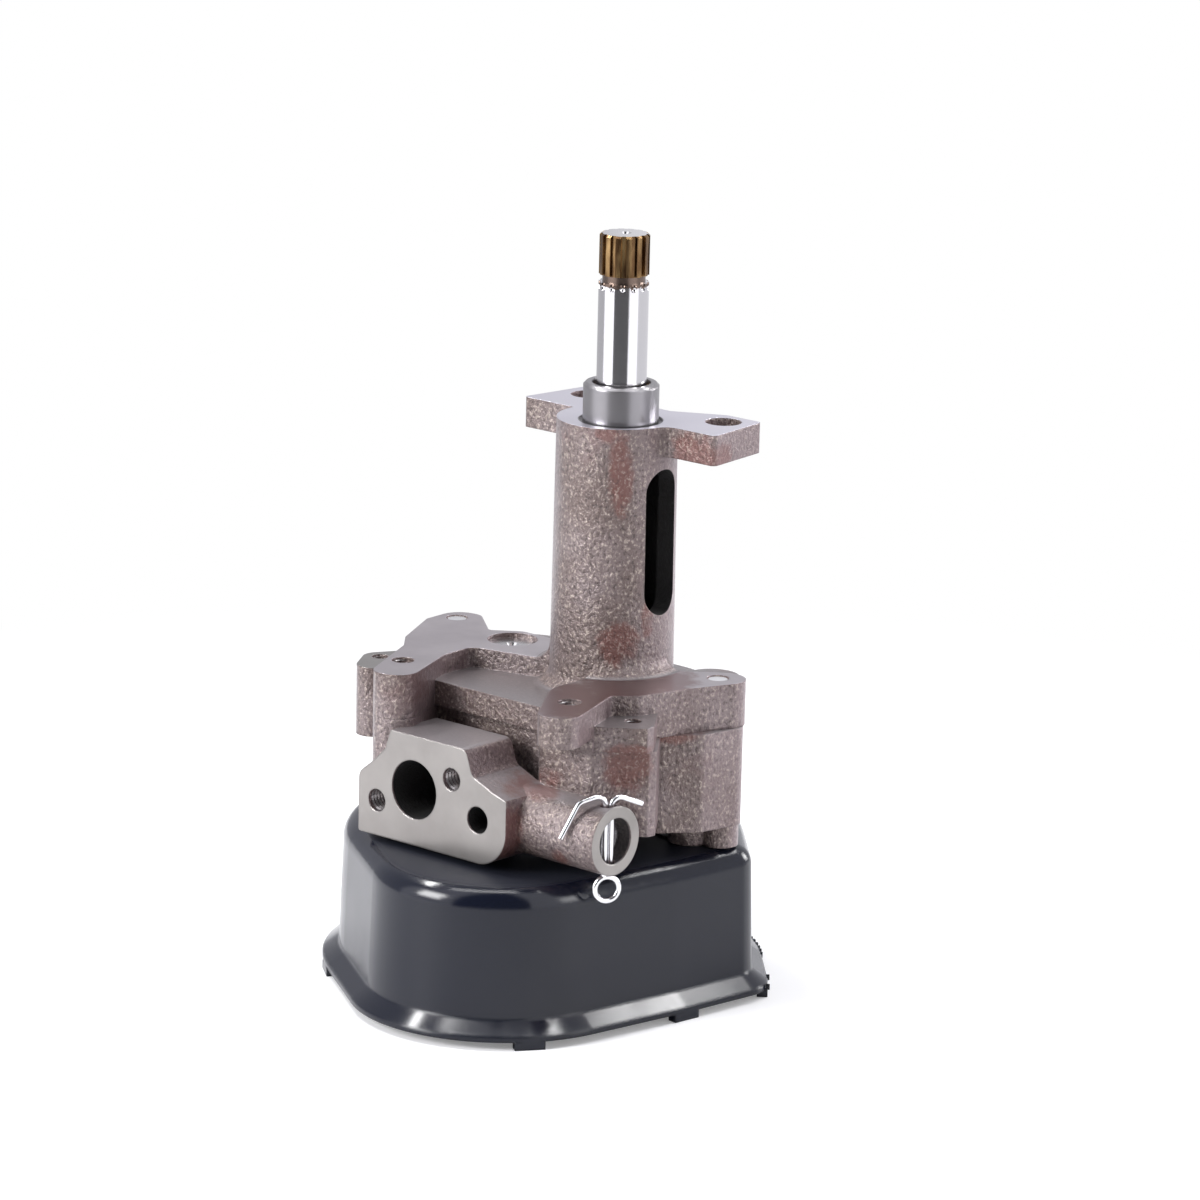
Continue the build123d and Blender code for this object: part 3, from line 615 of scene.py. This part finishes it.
def tower_casting():
    """Tower with its pale lavender flange face, darker turned pilot and stained pads."""
    s = Shader("tower_casting")
    pilot = turned_pilot(s)
    machined = s.largest(s.face("Z", PAD_LEVEL, 1.0), s.face("Z", FLANGE_LEVEL, 1.0), pilot)
    ragged = ragged_edge(s)
    flange = s.ramp(s.axis("Object", "Z"), *FLANGE_BAND)
    bright = s.mix(flange, cut_iron(s, TOWER_CUT), FLANGE_FACE)
    bright = s.mix(pilot, bright, TURNED_PILOT)
    stain = s.patches(0.0, PAD_STAIN, ragged)
    bright = s.mix(s.times(stain, STAIN_SHARE), bright, STAIN)
    # Up-facing cast tops get painted shade, and the window and cavity walls get painted shade
    return casting(s, machined, bright, tower_hollow_shade(s), TOWER_RUST, ragged, TOWER_TOP_SHADE)


def gear_casting():
    """Gear housing with its outlet face, side lug and the ring face of the valve's barrel."""
    s = Shader("gear_casting")
    ring_limits = [(letter, middle, VALVE_RADIUS) for letter, middle in zip("YZ", VALVE_AXIS)]
    ring = s.face("X", VALVE_END, 1.0, *ring_limits)
    machined = s.largest(s.face("Y", OUTLET_FACE, -1.0), s.face("Z", SIDE_LUG_LEVEL, 1.0), ring)
    bright = cut_iron(s, GEAR_CUT)
    # Up-facing cast tops get painted light, and the drilled holes and the barrel get painted shade
    return casting(s, machined, bright, gear_hollow_shade(s), GEAR_RUST, ragged_edge(s), GEAR_TOP_LIGHT)


# Other surfaces

def plain(name, colour, roughness, metallic=1.0):
    return Shader(name).finish(colour, metallic, roughness)


def shaft_steel():
    """Polished steel with the spline end tinted a dark golden bronze."""
    s = Shader("shaft_steel")
    height = s.axis("Object", "Z")
    edge = s.times(s.noise(*TINT_EDGE), TINT_RAGGED)
    spline = s.above(s.plus(height, edge), SHAFT_TOP - TINT_LENGTH + TINT_RAGGED / 2)
    side = s.below(s.math("ABSOLUTE", s.axis("Normal", "Z")), TINT_TURN)
    outer = s.above(s.reach("X", "Y"), CENTRE_DRILLING ** 2)
    tint = s.times(spline, side, outer)
    streaks = s.ramp(s.noise(*TINT_STREAKS), *CLOUD_BAND)
    bronze = s.mix(streaks, BRONZE_DARK, BRONZE_BRIGHT)
    neck = s.below(height, SHAFT_TOP - SPLINE_LENGTH)
    bronze = s.mix(neck, bronze, BRONZE_NECK)
    roughness = s.blend(tint, STEEL_ROUGHNESS, BRONZE_ROUGHNESS)
    return s.finish(s.mix(tint, POLISHED, bronze), 1.0, roughness)


def black_pan():
    """Glossy black paint, duller on the pan's flat top."""
    s = Shader("black_pan")
    s.bump(s.noise(*PAN_WAVES), PAN_WAVE_DEPTH, PAN_WAVE_STRENGTH, PAN_EDGE)
    s.surface.inputs["Specular IOR Level"].default_value = PAN_SPECULAR
    smear = s.ramp(s.noise(*PAN_SMEARS), *SMEAR_BAND)
    top = s.ramp(s.toward(UPWARD), *PAN_TOP_BAND)
    roughness = s.blend(top, s.blend(smear, *PAN_WALL_ROUGHNESS), PAN_TOP_ROUGHNESS)
    return s.finish(PAN_BLACK, 0.0, roughness)


def paint(node, material):
    for slot in nodes[node].material_slots:
        slot.material = material


def paint_all():
    """Paints every CAD node that stays in view, and returns the pan's paint for its rim."""
    pan = black_pan()
    paint("tower_housing", tower_casting())
    paint("gear_housing", gear_casting())
    paint("drive_shaft", shaft_steel())
    paint("strainer_pan", pan)
    for name, (colour, roughness, metallic, covered) in PLAIN.items():
        material = plain(name, colour, roughness, metallic)
        for node in covered:
            paint(node, material)
    return pan


# Detail pieces

def mesh_piece(name, points, faces, material):
    """Mesh that rides with the housing."""
    data = bpy.data.meshes.new(name)
    data.from_pydata([tuple(point) for point in points], [], faces)
    data.materials.append(material)
    piece = bpy.data.objects.new(name, data)
    scene.collection.objects.link(piece)
    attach(piece, "housing")
    return piece


def tube_faces(faces, base, rings, sides):
    """Faces between the rings of a tube and over its two ends; the rings start at point base."""
    for index in range(rings - 1):
        for edge in range(sides):
            a = base + index * sides + edge
            b = base + index * sides + (edge + 1) % sides
            faces.append((a, b, b + sides, a + sides))
    last = base + (rings - 1) * sides
    faces.append(tuple(base + corner for corner in reversed(range(sides))))
    faces.append(tuple(last + corner for corner in range(sides)))


def thread_piece(name, mouth, axis, radius, depth, pitch, material):
    """Helical thread crest standing inwards from the wall of a tapped hole."""
    side = axis.orthogonal().normalized()
    other = axis.cross(side)
    count = int(depth / pitch * THREAD_STEPS)
    profile = ((0.0, -THREAD_HALF * pitch), (THREAD_CREST, 0.0), (0.0, THREAD_HALF * pitch))
    points = []
    for index in range(count + 1):
        turn = index / THREAD_STEPS
        out = side * math.cos(2 * math.pi * turn) + other * math.sin(2 * math.pi * turn)
        fade = max(min(1.0, turn, (count - index) / THREAD_STEPS), THREAD_THINNEST)
        for crest, shift in profile:
            reach = radius + THREAD_SINK - crest * fade
            points.append(mouth + out * reach + axis * (shift - pitch * (0.5 + turn)))
    faces = []
    tube_faces(faces, 0, count + 1, len(profile))
    mesh_piece(name, points, faces, material)


def threads():
    """Threads of the tapped holes: mount, level of the mouth along its axis, pitch and depth."""
    material = plain("thread_iron", THREAD_IRON, 0.3, 0.9)
    holes = {
        "thread_left_stud": ("left_stud", PAD_LEVEL, M8_PITCH, 8.3 * MM),
        "thread_right_stud": ("right_stud", PAD_LEVEL, M8_PITCH, 8.3 * MM),
        "thread_shelf": ("shelf_hole", SHELF_LEVEL, M6_PITCH, 7.0 * MM),
        "thread_side_lug": ("side_lug_hole", SIDE_LUG_LEVEL, M6_PITCH, 11.5 * MM),
        "thread_outlet_left": ("outlet_bolt_left", -OUTLET_FACE, M8_PITCH, 12.0 * MM),
        "thread_outlet_right": ("outlet_bolt_right", -OUTLET_FACE, M8_PITCH, 12.0 * MM),
    }
    for name, (mount, level, pitch, depth) in holes.items():
        axis = Vector(mounts[mount]["axis"])
        place = Vector(mounts[mount]["pos_m"])
        mouth = place + axis * (level - place.dot(axis))
        radius = mounts[mount]["dims"]["r_mm"] * MM
        thread_piece(name, mouth, axis, radius, depth, pitch, material)


def seen_from_above(node):
    """Outline of a node round which a string would lie, as (x, y) points."""
    item = nodes[node]
    flat = [(item.matrix_world @ corner.co).xy for corner in item.data.vertices]
    return [flat[index] for index in geometry.convex_hull_2d(flat)]


def chord(outline, axis, level):
    """Ends of the straight line across the outline where this axis has this level."""
    ends = []
    for first, second in zip(outline, outline[1:] + outline[:1]):
        below = first[axis] - level
        above = second[axis] - level
        if below * above < 0:
            ends.append(first.lerp(second, below / (below - above))[1 - axis])
    return (min(ends), max(ends)) if ends else (0.0, 0.0)


def weave(outline, low, axis, row, middle):
    """Places along one wire of the cloth, over and under the wires that it crosses."""
    level = low[axis] + row * WIRE_PITCH
    near, far = chord(outline, axis, level)
    if far - near < 2 * WIRE_PITCH:
        return []
    start = low[1 - axis]
    first = math.ceil((near - start) / WIRE_PITCH)
    last = math.floor((far - start) / WIRE_PITCH)
    route = []
    for step in range(first, last + 1):
        place = Vector((level, level, middle))
        place[1 - axis] = start + step * WIRE_PITCH
        place[2] += WIRE_RADIUS * (1 if (row + step + axis) % 2 else -1)
        route.append(place)
    return route


def wire(points, faces, route, axis):
    """Four-sided wire along the route."""
    across = Vector()
    across[axis] = WIRE_RADIUS
    upward = Vector((0.0, 0.0, WIRE_RADIUS))
    corners = (across, upward, -across, -upward)
    base = len(points)
    for place in route:
        points.extend(place + corner for corner in corners)
    tube_faces(faces, base, len(route), len(corners))


def woven_screen():
    """Plain-weave wire cloth in the outline of the screen."""
    low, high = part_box("strainer_screen")
    outline = seen_from_above("strainer_screen")
    points = []
    faces = []
    for axis in (0, 1):
        for row in range(1, int((high[axis] - low[axis]) / WIRE_PITCH)):
            route = weave(outline, low, axis, row, (low[2] + high[2]) / 2)
            if route:
                wire(points, faces, route, axis)
    piece = mesh_piece("woven_screen", points, faces, plain("screen_wire", SCREEN_WIRE, 0.3))
    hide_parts("strainer_screen")


def relief_coil():
    """The relief spring's coil as a piece of its own that rides with the housing."""
    source = nodes["relief_spring"]
    piece = bpy.data.objects.new("relief_coil", source.data.copy())
    piece.matrix_world = source.matrix_world.copy()
    scene.collection.objects.link(piece)
    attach(piece, "housing")
    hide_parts("relief_spring")
    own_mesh(piece)


def rim_crimps(material):
    """Short crimp marks round the right end of the pan's lip."""
    outline = seen_from_above("strainer_pan")
    first, last = CRIMP_HEADINGS
    points = []
    faces = []
    for index in range(CRIMP_COUNT):
        heading = math.radians(first + index / (CRIMP_COUNT - 1) * (last - first))
        outward = Vector((math.cos(heading), math.sin(heading)))
        along = Vector((-outward.y, outward.x))
        rim = max(outline, key=outward.dot)
        base = len(points)
        for a, b, c in BLOCK_CORNERS:
            flat = rim + outward * (a * CRIMP_SIZE[0] / 2) + along * (b * CRIMP_SIZE[1] / 2)
            points.append(Vector((flat.x, flat.y, CRIMP_LEVEL + c * CRIMP_SIZE[2] / 2)))
        for face in BLOCK_FACES:
            faces.append(tuple(base + corner for corner in face))
    mesh_piece("rim_crimps", points, faces, material)


# Stage

def floor_white():
    """White table top that is shaded near the pump and plain white to the camera far from it."""
    s = Shader("floor_white")
    s.finish(FLOOR_COLOUR, 0.0, FLOOR_ROUGHNESS)
    s.surface.inputs["Specular IOR Level"].default_value = FLOOR_SPECULAR
    s.surface.inputs["Emission Color"].default_value = WHITE
    seen = s.add("ShaderNodeLightPath").outputs["Is Camera Ray"]
    s.join(s.times(seen, CAMERA_WHITE), s.surface.inputs["Emission Strength"])
    distance = s.math("SQRT", s.reach("X", "Y"))
    white = s.add("ShaderNodeEmission")
    mix = s.add("ShaderNodeMixShader")
    s.join(s.times(s.ramp(distance, *FLOOR_SHADE), seen), mix.inputs[0])
    s.join(s.surface.outputs[0], mix.inputs[1])
    s.join(white.outputs[0], mix.inputs[2])
    s.join(mix.outputs[0], s.tree.nodes["Material Output"].inputs["Surface"])
    return s.material


def add_floor():
    """Round table top under the pan."""
    corners = []
    for step in range(FLOOR_STEPS):
        angle = 2 * math.pi * step / FLOOR_STEPS
        corners.append((FLOOR_RADIUS * math.cos(angle), FLOOR_RADIUS * math.sin(angle), FLOOR))
    data = bpy.data.meshes.new("floor")
    data.from_pydata(corners, [], [tuple(range(FLOOR_STEPS))])
    data.materials.append(floor_white())
    floor = bpy.data.objects.new("floor", data)
    scene.collection.objects.link(floor)


def add_world():
    """White studio: softboxes left and right of the camera, a dark gap round the camera."""
    world = bpy.data.worlds.new("studio")
    world.use_nodes = True
    scene.world = world
    w = Tree(world.node_tree)
    right = w.along("Generated", view_to_row(SEEN_RIGHT))
    front = w.along("Generated", view_to_row(SEEN_FRONT))
    heading = w.math("ARCTAN2", right, front)
    strength = STUDIO_STRENGTH
    for (first, last), value in STUDIO:
        inside = w.times(w.above(heading, math.radians(first)), w.below(heading, math.radians(last)))
        strength = w.plus(w.times(inside, value - STUDIO_STRENGTH), strength)
    path = w.add("ShaderNodeLightPath")
    lit = w.blend(path.outputs["Is Glossy Ray"], AMBIENT_STRENGTH, strength)
    lit = w.blend(path.outputs["Is Camera Ray"], lit, BACKDROP_STRENGTH)
    tint = w.mix(path.outputs["Is Camera Ray"], SKY, WHITE)
    background = w.tree.nodes["Background"]
    w.join(tint, background.inputs["Color"])
    w.join(lit, background.inputs["Strength"])


def add_lamp(name, place, size, power):
    """Rectangular soft lamp; its place is in the camera's frame, in mm."""
    light = bpy.data.lights.new(name, "AREA")
    light.shape = "RECTANGLE"
    light.size, light.size_y = size
    light.energy = power
    lamp = bpy.data.objects.new(name, light)
    scene.collection.objects.link(lamp)
    start = view_to_row(Vector(place) * MM)
    target = view_to_row(Vector(LAMP_AIM) * MM)
    lamp.location = start
    lamp.rotation_euler = (target - start).to_track_quat("-Z", "Y").to_euler()


def add_camera():
    data = bpy.data.cameras.new("camera")
    data.lens = LENS
    data.sensor_width = SENSOR
    data.clip_start, data.clip_end = CLIP
    camera = bpy.data.objects.new("camera", data)
    scene.collection.objects.link(camera)
    level = Vector((1.0, 0.0, 0.0))
    forward = Vector((0.0, math.cos(PITCH), -math.sin(PITCH)))
    upward = Vector((0.0, math.sin(PITCH), math.cos(PITCH)))
    right = math.cos(ROLL) * level + math.sin(ROLL) * upward
    up = math.cos(ROLL) * upward - math.sin(ROLL) * level
    place = AIM - DISTANCE * forward
    turn = Matrix.Rotation(VIEW_TURN, 4, "Z")
    columns = Matrix((right, up, -forward)).transposed().to_4x4()
    camera.matrix_world = turn @ Matrix.Translation(place) @ columns
    scene.camera = camera


pan_paint = paint_all()
threads()
woven_screen()
relief_coil()
rim_crimps(pan_paint)
add_camera()
add_floor()
add_world()
for lamp_name, lamp_values in LAMPS.items():
    add_lamp(lamp_name, *lamp_values)
scene.view_settings.view_transform = "Standard"
